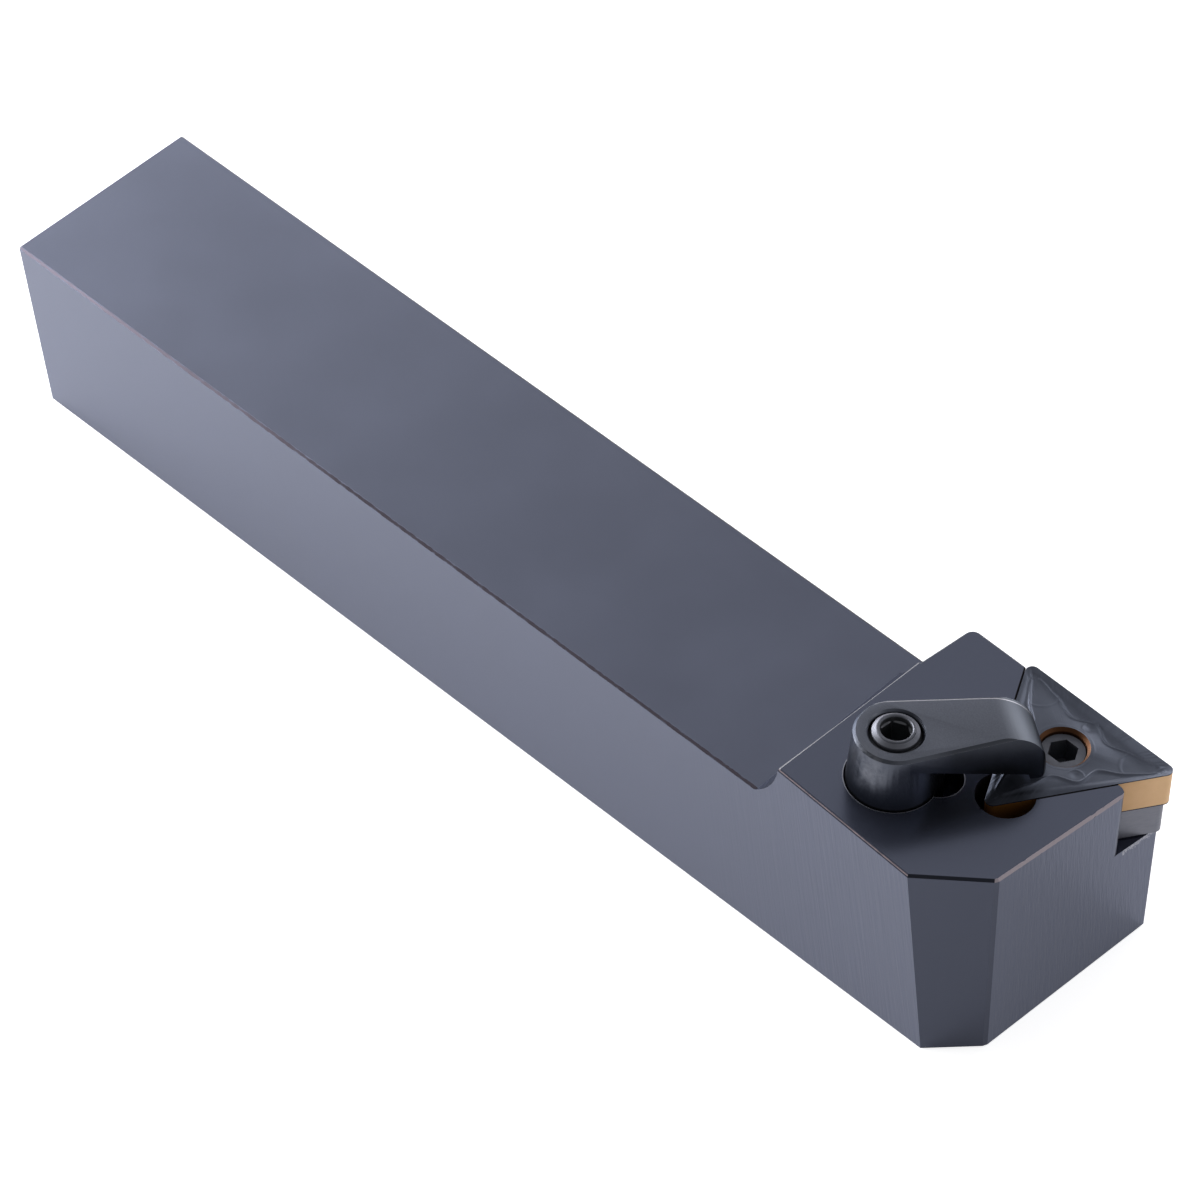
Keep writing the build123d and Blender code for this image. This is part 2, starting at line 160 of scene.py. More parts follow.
# The hollow of the step faces back along the shank. A form cutter leaves it smooth.
backward = add_node(tree, "MapRange", {"Value": facing["X"], "From Min": -0.12, "From Max": -0.4})
by_step = add_node(tree, "Math", (spot["X"], HOLLOW_FROM), operation="GREATER_THAN")
hollow = add_node(tree, "Math", (backward, by_step), operation="MULTIPLY")

# The cut across the corner is painted darker, as shade.
rightward = add_node(tree, "Math", (facing["Y"], -1.0), operation="MULTIPLY")
cornerwise = add_node(tree, "Math", (facing["X"], rightward), operation="MINIMUM")
cut = add_node(tree, "MapRange", {"Value": cornerwise, "From Min": 0.3, "From Max": 0.4})

# Small chamfers slope between level and upright, and are painted darker as shade. On the head a
# rubbed line runs along their middle, wider and ragged on the front, where the tool is handled.
# On the shank the line takes most of the chamfer and is painted light and shade: pale far back,
# nearly black towards the head.
steep = add_node(tree, "MapRange", {"Value": facing["Z"], "From Min": 0.45, "From Max": 0.55})
level = add_node(tree, "MapRange", {"Value": facing["Z"], "From Min": 0.9, "From Max": 0.85})
sloped = add_node(tree, "Math", (steep, level), operation="MULTIPLY")
off_hollow = add_node(tree, "Math", (1.0, hollow), operation="SUBTRACT")
chamfer = add_node(tree, "Math", (sloped, off_hollow), operation="MULTIPLY")
side_half = add_node(tree, "Mix", (on_head, SHANK_LINE, HEAD_LINE))
half = add_node(tree, "MapRange", {
    "Value": facing["X"], "From Min": 0.3, "From Max": 0.5,
    "To Min": side_half, "To Max": FRONT_LINE,
})
ragged = add_node(tree, "MapRange", {
    "Value": fleck, "From Min": 0.3, "From Max": 0.6, "To Min": 0.6, "To Max": 1.3,
})
reach = add_node(tree, "Math", (half, ragged), operation="MULTIPLY")
from_middle = add_node(tree, "Math", (depth, BREAK / 2), operation="SUBTRACT")
off_middle = add_node(tree, "Math", (from_middle,), operation="ABSOLUTE")
inside = add_node(tree, "Math", (off_middle, reach), operation="LESS_THAN")
off_cut = add_node(tree, "Math", (1.0, cut), operation="SUBTRACT")
edge_line = add_node(tree, "Math", (inside, chamfer), operation="MULTIPLY")
edge_wear_and_painted_light = add_node(tree, "Math", (edge_line, off_cut), operation="MULTIPLY")


def ring(foot, radius):
    """Is 1 on a thin circle round an axis that stands square on the head's top."""
    from_foot = add_node(tree, "VectorMath", (place, foot), operation="SUBTRACT")
    round_axis = add_node(tree, "VectorMath", (from_foot, UP), operation="CROSS_PRODUCT")
    reach = add_node(tree, "VectorMath", (round_axis,), operation="LENGTH")
    return add_node(tree, "Math", (reach, radius + LINE, LINE), operation="COMPARE")


# A painted highlight lies as a hairline on sharp edges: the step's crest, and less so the rims of
# recess and slot.
crest_lean = add_node(tree, "Math", (spot["Y"], CREST_TURN), operation="MULTIPLY")
crest_place = add_node(tree, "Math", (spot["X"], crest_lean), operation="ADD")
near_crest = add_node(tree, "Math", (crest_place, CREST_X, 1.8 * LINE), operation="COMPARE")
recess_rim = ring(SCREW_FOOT, RECESS_RADIUS)
slot_rim = ring(SCREW_FOOT + in_plane(FINGER_TURN + SLOT_TURN) * SLOT_REACH, SLOT_RADIUS)
rims = add_node(tree, "Math", (recess_rim, slot_rim), operation="MAXIMUM")
dull_rims = add_node(tree, "Math", (rims, 0.5), operation="MULTIPLY")
either = add_node(tree, "Math", (near_crest, dull_rims), operation="MAXIMUM")
shallow = add_node(tree, "Math", (head_depth, 2 * LINE), operation="LESS_THAN")
hair = add_node(tree, "Math", (either, shallow), operation="MULTIPLY")
painted_hairline = add_node(tree, "Math", (hair, on_head), operation="MULTIPLY")

# Along the pocket's two walls a dark line of painted shade lies between the head's top and the
# insert.
wall_lines = [
    add_node(tree, "VectorMath", (from_centre, in_plane(turn)), operation="DOT_PRODUCT")
    for turn in WALL_TURNS
]
to_wall = add_node(tree, "Math", wall_lines, operation="MAXIMUM")
by_wall = add_node(tree, "Math", (to_wall, INSERT_IN + 2.4 * LINE, 2 * LINE), operation="COMPARE")
wall_edge = add_node(tree, "Math", (by_wall, shallow), operation="MULTIPLY")
wall_shade = add_node(tree, "Math", (wall_edge, on_head), operation="MULTIPLY")

# Painted shade: what the cut, the chamfers and the hollow keep of the skin's colour.
shade_cut = add_node(tree, "MapRange", {"Value": cut, "To Min": 1.0, "To Max": 0.5})
shade_edge = add_node(tree, "MapRange", {"Value": chamfer, "To Min": 1.0, "To Max": 0.4})
shade_hollow = add_node(tree, "MapRange", {"Value": hollow, "To Min": 1.0, "To Max": 0.5})
shade_both = add_node(tree, "Math", (shade_cut, shade_edge), operation="MULTIPLY")
shade_three = add_node(tree, "Math", (shade_both, shade_hollow), operation="MULTIPLY")

# The head's top is milled, and its colour is painted lighter as light; the pocket's floor is
# painted darker as shade.
flat = add_node(tree, "Math", (facing["Z"], 0.97), operation="GREATER_THAN")
head_top = add_node(tree, "Math", (flat, on_head), operation="MULTIPLY")
sunk = add_node(tree, "Math", (head_depth, POCKET_DEPTH - 1 * MM), operation="GREATER_THAN")
top_light_floor_shade = add_node(tree, "Mix", (sunk, 1.36, 0.45))
shade_top = add_node(tree, "Mix", (head_top, 1.0, top_light_floor_shade))
shade = add_node(tree, "Math", (shade_three, shade_top), operation="MULTIPLY")

# The mill has rolled a bright, torn burr over the floor's edge onto the front.
tear = add_node(tree, "TexNoise", {
    "Vector": place, "Scale": 1 / BURR_TEAR, "Detail": 3.0, "Roughness": 0.7,
})
burr_foot = add_node(tree, "MapRange", {
    "Value": tear, "From Min": 0.35, "From Max": 0.65,
    "To Min": POCKET_DEPTH + BURR_SHORT, "To Max": POCKET_DEPTH + BURR_LONG,
})
above_foot = add_node(tree, "Math", (head_depth, burr_foot), operation="LESS_THAN")
forward = add_node(tree, "Math", (facing["X"], 0.9), operation="GREATER_THAN")
past_wall = add_node(tree, "Math", (spot["Y"], WALL_FOOT_Y), operation="GREATER_THAN")
under_floor = add_node(tree, "Math", (forward, past_wall), operation="MULTIPLY")
burr_place = add_node(tree, "Math", (above_foot, under_floor), operation="MULTIPLY")
folds = add_node(tree, "MapRange", {
    "Value": tear.outputs["Color"], "From Min": 0.46, "From Max": 0.54,
    "To Min": 0.1, "To Max": 0.7,
})
burr = add_node(tree, "Math", (burr_place, folds), operation="MULTIPLY")

# The skin's colour is laid first, then the lines, the painted shade by the walls, and the painted
# highlights and the burr on top.
dark = add_node(tree, "VectorMath", (skin, shade), operation="SCALE")
handled = add_node(tree, "MapRange", {"Value": facing["X"], "From Min": 0.3, "From Max": 0.5})
# The shank's line is painted light and shade: pale at the far end, nearly black by the head.
from_end = add_node(tree, "MapRange", {
    "Value": spot["X"], "From Min": LINE_PALE_X, "From Max": LINE_DARK_X,
})
painted_shank_line = add_node(tree, "Mix", (
    from_end, linear("#645f6a"), linear("#302c33"),
), data_type="RGBA")
side_line = add_node(tree, "Mix", (on_head, painted_shank_line, linear("#8c8084")), data_type="RGBA")
line_tone = add_node(tree, "Mix", (handled, side_line, linear("#a59ca3")), data_type="RGBA")
lined = add_node(tree, "Mix", (edge_wear_and_painted_light, dark, line_tone), data_type="RGBA")
highlight_and_burr = add_node(tree, "Math", (painted_hairline, burr), operation="MAXIMUM")
walled = add_node(tree, "Mix", (wall_shade, lined, linear("#1c1a1d")), data_type="RGBA")
tone = add_node(tree, "Mix", (highlight_and_burr, walled, linear("#cfcfd6")), data_type="RGBA")
skin_rough = add_node(tree, "MapRange", {"Value": cloud, "To Min": 0.3, "To Max": 0.38})
lines_and_highlights = add_node(tree, "Math", (edge_wear_and_painted_light, highlight_and_burr), operation="MAXIMUM")
hollow_rough = add_node(tree, "Mix", (hollow, skin_rough, 0.24))
top_rough = add_node(tree, "Mix", (head_top, hollow_rough, 0.24))
rough = add_node(tree, "Mix", (lines_and_highlights, top_rough, 0.6))

# End mill marks run down the upright faces of the head. The shank is ground smooth.
from_shank = add_node(tree, "MapRange", {
    "Value": spot["X"], "From Min": MARKS_FROM, "From Max": MARKS_TO,
})
upright = add_node(tree, "MapRange", {"Value": facing["Z"], "From Min": 0.3, "From Max": 0.1})
side_milled = add_node(tree, "Math", (from_shank, upright), operation="MULTIPLY")
milled = add_node(tree, "Math", (side_milled, off_cut), operation="MULTIPLY")
drawn_down = add_node(tree, "Mapping", {"Vector": place, "Scale": (1.0, 1.0, 0.03)})
marks = add_node(tree, "TexNoise", {
    "Vector": drawn_down, "Scale": 1 / MARK_SPACING, "Detail": 3.0, "Roughness": 0.7,
})
marks_height = add_node(tree, "Math", (marks, milled), operation="MULTIPLY")
fine = add_node(tree, "Bump", {"Height": grain, "Strength": 0.15, "Distance": 0.01 * MM})
bump = add_node(tree, "Bump", {
    "Height": marks_height, "Strength": 1.0, "Distance": 0.07 * MM, "Normal": fine,
})
low_angle = add_node(tree, "Mix", (hollow, linear("#ffffff"), linear("#a8a8a8")), data_type="RGBA")
shader = add_node(tree, "BsdfPrincipled", {
    "Base Color": tone,
    "Metallic": 0.95,
    "Roughness": rough,
    "Specular Tint": low_angle,
    "Normal": bump,
})
add_node(tree, "OutputMaterial", (shader,))
coat(nodes["holder"], black_oxide)


# ---------------------------------------------------------------- shim
# The shim is a ground plate of sintered tungsten carbide, smooth, bare and mid grey.
# It lies under the insert, a little inside its edges, and takes the damage if the insert breaks.

INSERT_OUT = 2 * INSERT_IN                         # insert's centre to a sharp corner
THICKNESS = 4.76 * MM                              # shim and insert alike
SHIM_IN = 0.25 * MM                                # shim's side behind the insert's side
SHIM_CORNER = 0.8 * MM
SHIM_BREAK = 0.2 * MM                              # ground chamfers, dark under the insert
SHIM_HOLE = 3.3 * MM
CORNER_STEPS, HOLE_STEPS = 9, 36                   # points round a corner and round the hole
GRIT_SIZE = 0.25 * MM                              # grinding haze, as fine as it still shows


def frame_at(origin, x, y, z):
    """The matrix of a frame with this origin and these three axes."""
    return Matrix.Translation(origin) @ Matrix((x, y, z)).transposed().to_4x4()


def seat(piece, origin, along):
    """Sets a finished upright mesh on the tilted plane, and leaves its object at the origin."""
    piece.data.transform(frame_at(origin, along, UP.cross(along), UP) @ piece.matrix_world)
    piece.matrix_world = Matrix.Identity(4)


def start(name, add, **sizes):
    """Adds a primitive with nothing else selected, names it and opens it in edit mode."""
    bpy.ops.object.select_all(action="DESELECT")
    add(**sizes)
    piece = bpy.context.object
    piece.name = piece.data.name = name
    bpy.ops.object.mode_set(mode="EDIT")
    return piece


def start_triangle(name, reach, corner, segments, height):
    """Starts a piece with the outline of a triangle, its corners rounded to true arcs."""
    piece = start(name, bpy.ops.mesh.primitive_circle_add, vertices=3, radius=reach,
                  location=(0, 0, height), rotation=(0, 0, pi))
    bpy.ops.object.mode_set(mode="OBJECT")
    bpy.ops.object.transform_apply(location=True, rotation=True)
    bpy.ops.object.mode_set(mode="EDIT")
    bpy.ops.mesh.select_all(action="SELECT")
    bpy.ops.mesh.bevel(offset=corner * sqrt(3), segments=segments, affect="VERTICES")
    bpy.ops.object.mode_set(mode="OBJECT")
    corners = [Vector((cos(a), sin(a))) for a in (-pi / 2, pi / 6, pi * 5 / 6)]
    for vertex in piece.data.vertices:
        hub = max(corners, key=vertex.co.xy.dot) * (reach - 2 * corner)
        vertex.co.xy = hub + (vertex.co.xy - hub).normalized() * corner
    bpy.ops.object.mode_set(mode="EDIT")
    return piece


shim = start_triangle(
    "shim_ground", INSERT_OUT - 2 * SHIM_IN, SHIM_CORNER, CORNER_STEPS, THICKNESS / 2)
bpy.ops.mesh.primitive_circle_add(
    vertices=HOLE_STEPS, radius=SHIM_HOLE, location=(0, 0, THICKNESS / 2))
bpy.ops.mesh.select_all(action="SELECT")
bpy.ops.mesh.bridge_edge_loops()
bpy.ops.mesh.select_all(action="SELECT")
bpy.ops.mesh.extrude_region_move(TRANSFORM_OT_translate={"value": (0, 0, -THICKNESS)})
bpy.ops.mesh.select_all(action="SELECT")
bpy.ops.mesh.normals_make_consistent(inside=False)
bpy.ops.object.mode_set(mode="OBJECT")
broken = shim.modifiers.new("ground_chamfers", "BEVEL")
broken.limit_method = "ANGLE"
broken.angle_limit = radians(60)
broken.width = SHIM_BREAK
bpy.ops.object.modifier_apply(modifier=broken.name)
bpy.ops.object.shade_smooth_by_angle(angle=radians(28))

# Bare ground carbide: metallic, with a faint haze from the wheel that keeps its gleam soft.
carbide, tree, place = new_material("ground_carbide")
drawn_out = add_node(tree, "Mapping", {"Vector": place, "Scale": (1.0, 1.0, 6.0)})
haze = add_node(tree, "TexNoise", {
    "Vector": drawn_out, "Scale": 1 / (4 * GRIT_SIZE), "Detail": 4.0,
})
grit = add_node(tree, "TexNoise", {"Vector": place, "Scale": 1 / GRIT_SIZE, "Detail": 2.0})
tone = add_node(tree, "ValToRGB", {"Fac": haze})
tone.color_ramp.elements[0].color = linear("#80828c")
tone.color_ramp.elements[1].color = linear("#9495a0")
bump = add_node(tree, "Bump", {"Height": grit, "Strength": 0.2, "Distance": 0.01 * MM})
shader = add_node(tree, "BsdfPrincipled", {
    "Base Color": tone, "Metallic": 0.7, "Roughness": 0.42, "Normal": bump,
})
add_node(tree, "OutputMaterial", (shader,))
coat(shim, carbide)
seat(shim, CENTRE - UP * THICKNESS * 1.5, FORWARD)
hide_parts("shim")
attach(shim, "root")


# ---------------------------------------------------------------- lock pin
# The pin is turned from alloy steel and blackened. It passes through insert and shim into the
# holder, and its hex socket shows in the insert's hole.

TOOL_MARKS = 0.15 * MM                             # turning marks on pin and screw

# Turned steel under black oxide: nearly matt, because fine turning marks scatter the light.
turned_steel, tree, place = new_material("blackened_turned_steel")
cloud = add_node(tree, "TexNoise", {
    "Vector": place, "Scale": 1 / (10 * TOOL_MARKS), "Detail": 5.0, "Roughness": 0.6,
})
marks = add_node(tree, "TexNoise", {"Vector": place, "Scale": 1 / TOOL_MARKS, "Detail": 2.0})
tone = add_node(tree, "ValToRGB", {"Fac": cloud})
tone.color_ramp.elements[0].color = linear("#646770")
tone.color_ramp.elements[1].color = linear("#7e8089")
bump = add_node(tree, "Bump", {"Height": marks, "Strength": 0.25, "Distance": 0.01 * MM})
shader = add_node(tree, "BsdfPrincipled", {
    "Base Color": tone, "Metallic": 0.95, "Roughness": 0.55,
    "Specular Tint": linear("#a89a94"), "Normal": bump,
})
add_node(tree, "OutputMaterial", (shader,))
coat(nodes["lock_pin"], turned_steel)


# ---------------------------------------------------------------- insert
# A negative triangular insert, pressed and sintered from tungsten carbide, the same on both faces.
# Behind each cutting edge a pressed channel, a wavy wall and small ridges curl and break the chip.
# The flanks keep a gold nitride coat, and a dark oxide coat covers the faces.

NOSE = 0.8 * MM
MOUTH, HOLE = 2.93 * MM, 2.58 * MM                 # radius of the hole, at its mouth and inside
HONE = 0.05 * MM                                   # small rounding along the cutting edge
RING_STEPS = 360                                   # points round the outline and round the hole
NOSE_STEPS = 12                                    # of them, the steps round one nose
RINGS = 62                                         # loops between the outline and the hole
SIDES = (pi / 2, pi * 7 / 6, -pi / 6)              # directions from the centre to the three sides


def pick(piece, kind, test):
    """In edit mode, selects the vertices, edges or faces whose middle passes a test."""
    bpy.ops.mesh.select_all(action="DESELECT")
    bpy.ops.mesh.select_mode(type={"verts": "VERT", "edges": "EDGE", "faces": "FACE"}[kind])
    mesh = bmesh.from_edit_mesh(piece.data)
    for part in getattr(mesh, kind):
        corners = [part] if kind == "verts" else part.verts
        middle = sum((corner.co for corner in corners), Vector()) / len(corners)
        if test(middle, part):
            part.select_set(True)
    bmesh.update_edit_mesh(piece.data)


insert = start_triangle("insert_coated", INSERT_OUT, NOSE, NOSE_STEPS, THICKNESS / 2)
pick(insert, "edges", lambda middle, edge: edge.calc_length() > INSERT_IN)
bpy.ops.mesh.subdivide(number_cuts=RING_STEPS // 3 - NOSE_STEPS - 1)
bpy.ops.mesh.primitive_circle_add(
    vertices=RING_STEPS, radius=MOUTH, location=(0, 0, THICKNESS / 2))
bpy.ops.mesh.select_all(action="SELECT")
bpy.ops.mesh.bridge_edge_loops(number_cuts=RINGS)
bpy.ops.object.mode_set(mode="OBJECT")


def ease(low, high, x):
    """Rises smoothly from 0 at low to 1 at high."""
    t = np.clip((x - low) / (high - low), 0, 1)
    return t * t * (3 - 2 * t)


def ridge(x, width):
    """A rounded ridge of height 1 where x is 0."""
    return np.exp(-(x / width) ** 2)


# The pressed relief of one face, worked out for points folded onto one of the three alike sides.
# All of it is in mm: u runs along the edge from its middle, s is the distance in from the edge,
# and an arm runs from a corner towards the centre. Widths and heights follow the photo.
points = np.array([v.co for v in insert.data.vertices]) / MM
side = np.stack([points[:, 0] * cos(a) + points[:, 1] * sin(a) for a in SIDES])
across = np.stack([points[:, 0] * sin(a) - points[:, 1] * cos(a) for a in SIDES])
nearest = side.argmax(0)
s = INSERT_IN / MM - side.max(0)
u = np.take_along_axis(across, nearest[None], 0)[0]
from_end = HALF_EDGE / MM - abs(u)
from_corner = np.hypot(from_end, s)
along_arm = from_end * cos(pi / 6) + s * sin(pi / 6)
off_arm = from_end * sin(pi / 6) - s * cos(pi / 6)

# The wavy wall stands this far in from the edge. A plateau lies behind it, a channel before it.
wall = 0.92 + 1.28 * ease(0, 2.6, abs(u))
wall -= 0.9 * ease(2.6, 5.4, abs(u)) + 0.6 * ease(4.6, 8.6, abs(u))
plateau = ease(-0.3, 0.25, s - wall) * ease(2.2, 2.7, from_corner)
channel = (0.1 + 0.06 * ease(2, 6, from_corner)) * ease(0.3, 1.0, s) * (1 - plateau)
relief = -channel - 0.07 * plateau

# Small ridges: along the wall, round a dimple in mid side, across each arm, round a dot in each
# corner, and round the hole.
relief += 0.07 * ridge(s - wall - 0.2, 0.14) * ease(2.3, 2.8, from_corner)
dimple = np.hypot(u, s - 2.05)
swirl = ease(-0.3, 0.6, np.cos(np.arctan2(s - 2.05, u) - 2.3))
relief += 0.035 * ridge(dimple - 0.85, 0.14) * swirl - 0.08 * ridge(dimple, 0.5)
arc = ridge(np.hypot(along_arm - 4.2, off_arm) - 2.3, 0.13)
relief += 0.035 * arc * ease(1.9, 1.4, abs(off_arm)) * ease(5.2, 5.8, along_arm) * plateau
relief += 0.03 * ridge(np.hypot(along_arm - 1.9, off_arm) - 0.42, 0.12)
relief += 0.02 * ridge(np.hypot(points[:, 0], points[:, 1]) - 3.25, 0.1)
for vertex, height in zip(insert.data.vertices, relief):
    vertex.co.z += min(height, 0) * MM
bpy.ops.object.mode_set(mode="EDIT")
pick(insert, "edges", lambda middle, edge: edge.is_boundary and middle.xy.length > INSERT_IN / 1.5)
bpy.ops.mesh.extrude_region_move()
bpy.ops.transform.resize(value=(1, 1, 0), center_override=(0, 0, 0))
pick(insert, "edges",
     lambda middle, edge: edge.is_boundary and abs(middle.xy.length - MOUTH) < HONE)
bpy.ops.mesh.extrude_region_move(TRANSFORM_OT_translate={"value": (0, 0, HOLE - MOUTH)})
narrower = HOLE / MOUTH
bpy.ops.transform.resize(value=(narrower, narrower, 1), center_override=(0, 0, 0))
bpy.ops.mesh.extrude_region_move()
bpy.ops.transform.resize(value=(1, 1, 0), center_override=(0, 0, 0))
bpy.ops.mesh.select_all(action="SELECT")
bpy.ops.mesh.normals_make_consistent(inside=False)
bpy.ops.object.mode_set(mode="OBJECT")
mirror = insert.modifiers.new("other_face", "MIRROR")
mirror.use_axis = (False, False, True)
mirror.merge_threshold = 1e-6
bpy.ops.object.modifier_apply(modifier=mirror.name)
bpy.ops.object.shade_smooth_by_angle(angle=radians(35))

POWDER = 0.12 * MM                                 # grain of the pressed powder, as it still shows
LAP = 0.14 * MM                                    # dark line along the flank's edges
NOSE_FLANK = TIP - Vector((0, 0, 2 * MM))          # middle of the flank under the tip
HOLE_SPAN = 0.85 * INSERT_IN                       # no flank is this near to the face's centre

# Vapour-deposited oxide is blue-grey and nearly matt, over the grain of the pressed powder. The
# corner over the pocket's round relief lies under the clamp's finger, and its colour and gleam are
# painted darker as shade.
oxide_coat, tree, place = new_material("dark_oxide_coat")
haze = add_node(tree, "TexNoise", {"Vector": place, "Scale": 1 / (12 * POWDER), "Detail": 5.0})
powder = add_node(tree, "TexNoise", {"Vector": place, "Scale": 1 / POWDER, "Detail": 2.0})
tone = add_node(tree, "ValToRGB", {"Fac": haze})
tone.color_ramp.elements[0].color = linear("#595e6c")
tone.color_ramp.elements[1].color = linear("#656a78")
hidden_corner = CENTRE - ACROSS * INSERT_OUT
to_hidden = add_node(tree, "VectorMath", (place, hidden_corner), operation="DISTANCE")
finger_shade = add_node(tree, "MapRange", {
    "Value": to_hidden, "From Min": 4.5 * MM, "From Max": 7.5 * MM, "To Min": 0.25, "To Max": 1.0,
})
shaded = add_node(tree, "VectorMath", (tone, finger_shade), operation="SCALE")
bump = add_node(tree, "Bump", {"Height": powder, "Strength": 0.25, "Distance": 0.006 * MM})
shader = add_node(tree, "BsdfPrincipled", {
    "Base Color": shaded, "Metallic": 0.85, "Roughness": 0.44,
    "Specular Tint": finger_shade, "Normal": bump,
})
add_node(tree, "OutputMaterial", (shader,))

# The nitride coat is a pale satin gold by the cutting nose. Towards the far corner it is painted a
# darker orange as shade, and in the hole a dark brown as shade. The dark oxide laps over both
# edges of the flank as a thin line.
gold_coat, tree, place = new_material("gold_nitride_coat")
haze = add_node(tree, "TexNoise", {"Vector": place, "Scale": 1 / (10 * POWDER), "Detail": 5.0})
powder = add_node(tree, "TexNoise", {"Vector": place, "Scale": 1 / POWDER, "Detail": 2.0})
flank = add_node(tree, "ValToRGB", {"Fac": haze})
flank.color_ramp.elements[0].color = linear("#e4bd90")
flank.color_ramp.elements[1].color = linear("#f0cba1")
from_hole = add_node(tree, "VectorMath", (place, CENTRE), operation="DISTANCE")
in_hole = add_node(tree, "Math", (from_hole, HOLE_SPAN), operation="LESS_THAN")
to_nose = add_node(tree, "VectorMath", (place, NOSE_FLANK), operation="DISTANCE")
far_flank_shade = add_node(tree, "MapRange", {"Value": to_nose, "From Min": 3 * MM, "From Max": 14 * MM})
sides = add_node(tree, "Mix", (far_flank_shade, flank, linear("#96632c")), data_type="RGBA")
half_down = CENTRE - UP * THICKNESS / 2
from_middle = add_node(tree, "VectorMath", (place, half_down), operation="SUBTRACT")
above = add_node(tree, "VectorMath", (from_middle, UP), operation="DOT_PRODUCT")
to_edge = add_node(tree, "Math", (above,), operation="ABSOLUTE")
lapped = add_node(tree, "Math", (to_edge, THICKNESS / 2 - LAP), operation="GREATER_THAN")
edged = add_node(tree, "Mix", (lapped, sides, linear("#2e3140")), data_type="RGBA")
tone = add_node(tree, "Mix", (in_hole, edged, linear("#4c2f19")), data_type="RGBA")
bump = add_node(tree, "Bump", {"Height": powder, "Strength": 0.2, "Distance": 0.006 * MM})
shader = add_node(tree, "BsdfPrincipled", {
    "Base Color": tone, "Metallic": 0.8, "Roughness": 0.5, "Normal": bump,
})
add_node(tree, "OutputMaterial", (shader,))
coat(insert, oxide_coat, gold_coat)
for face in insert.data.polygons:
    face.material_index = int(abs(face.normal.z) < 0.3 or face.center.xy.length < MOUTH)
seat(insert, half_down, FORWARD)
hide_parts("insert")
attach(insert, "root")


# ---------------------------------------------------------------- clamp
# The finger clamp is forged from alloy steel, tumbled so that its edges are round, and blackened.
# Its finger rolls down at the end onto the insert, and the screw passes through its boss.

TUMBLED = 0.14 * MM                                # radius that tumbling leaves on the edges
CLAMP_TOP = 7.2 * MM
BORE_RIM = 3.3 * MM                                # dark rim round the screw
FAR_TURN, FAR_RIM = FINGER_TURN + radians(83), 4.2 * MM  # direction and place of its far rim
BOSS_MIDDLE = SCREW_FOOT + UP * 5.4 * MM           # on the screw's axis, inside the boss
RUBBED_SPOT = BOSS_MIDDLE + Vector((0.1, -4.9, 0)) * MM
SCALE_SIZE = 0.16 * MM                             # grain of the forging scale, as fine as it shows

clamp = bpy.data.objects.new("clamp_blacked", nodes["clamp"].data.copy())
bpy.context.scene.collection.objects.link(clamp)
bpy.ops.object.select_all(action="DESELECT")
clamp.select_set(True)
bpy.context.view_layer.objects.active = clamp
bpy.ops.mesh.customdata_custom_splitnormals_clear()
bpy.ops.object.mode_set(mode="EDIT")
bpy.ops.mesh.select_all(action="SELECT")
bpy.ops.mesh.remove_doubles(threshold=1e-6)
bpy.ops.mesh.dissolve_limited(angle_limit=radians(1))
bpy.ops.object.mode_set(mode="OBJECT")

# Forged steel under black oxide: a matt, finely grained top and glossier sides.
forged, tree, place = new_material("blackened_forged_steel")
normal = add_node(tree, "TexCoord").outputs["Normal"]
upward = add_node(tree, "VectorMath", (normal, UP), operation="DOT_PRODUCT")
top = add_node(tree, "MapRange", {"Value": upward, "From Min": 0.8, "From Max": 0.97})
cloud = add_node(tree, "TexNoise", {
    "Vector": place, "Scale": 1 / (12 * SCALE_SIZE), "Detail": 5.0, "Roughness": 0.65,
})
scale = add_node(tree, "TexNoise", {"Vector": place, "Scale": 1 / SCALE_SIZE, "Detail": 3.0})
side = add_node(tree, "ValToRGB", {"Fac": cloud})
side.color_ramp.elements[0].color = linear("#565a64")
side.color_ramp.elements[1].color = linear("#646873")
matt = add_node(tree, "ValToRGB", {"Fac": scale})
matt.color_ramp.elements[0].color = linear("#686c78")
matt.color_ramp.elements[1].color = linear("#808490")

# The boss is rubbed lighter on its near side, and away from the boss the sides are painted darker
# as shade.
from_spot = add_node(tree, "VectorMath", (place, RUBBED_SPOT), operation="DISTANCE")
patch = add_node(tree, "MapRange", {"Value": from_spot, "From Min": 3.6 * MM, "From Max": 1.2 * MM})
torn = add_node(tree, "MapRange", {"Value": cloud, "From Min": 0.38, "From Max": 0.62})
worn = add_node(tree, "Math", (patch, torn), operation="MULTIPLY")
from_boss = add_node(tree, "VectorMath", (place, BOSS_MIDDLE), operation="DISTANCE")
finger_side_shade = add_node(tree, "MapRange", {
    "Value": from_boss, "From Min": 5 * MM, "From Max": 7 * MM, "To Min": 1.0, "To Max": 0.5,
})

# Chamfers that face back, away from the cut, are painted darker as shade.
backward = add_node(tree, "VectorMath", (normal, -ALONG), operation="DOT_PRODUCT")
facing_back = add_node(tree, "MapRange", {"Value": backward, "From Min": 0.1, "From Max": 0.5})
leaning = add_node(tree, "MapRange", {"Value": upward, "From Min": 0.3, "From Max": 0.6})
back_chamfer = add_node(tree, "Math", (facing_back, leaning), operation="MULTIPLY")
back_chamfer_shade = add_node(tree, "MapRange", {"Value": back_chamfer, "To Min": 1.0, "To Max": 0.4})
darker = add_node(tree, "Math", (finger_side_shade, back_chamfer_shade), operation="MULTIPLY")
flank = add_node(tree, "VectorMath", (side, darker), operation="SCALE")
body = add_node(tree, "Mix", (top, flank, matt), data_type="RGBA")

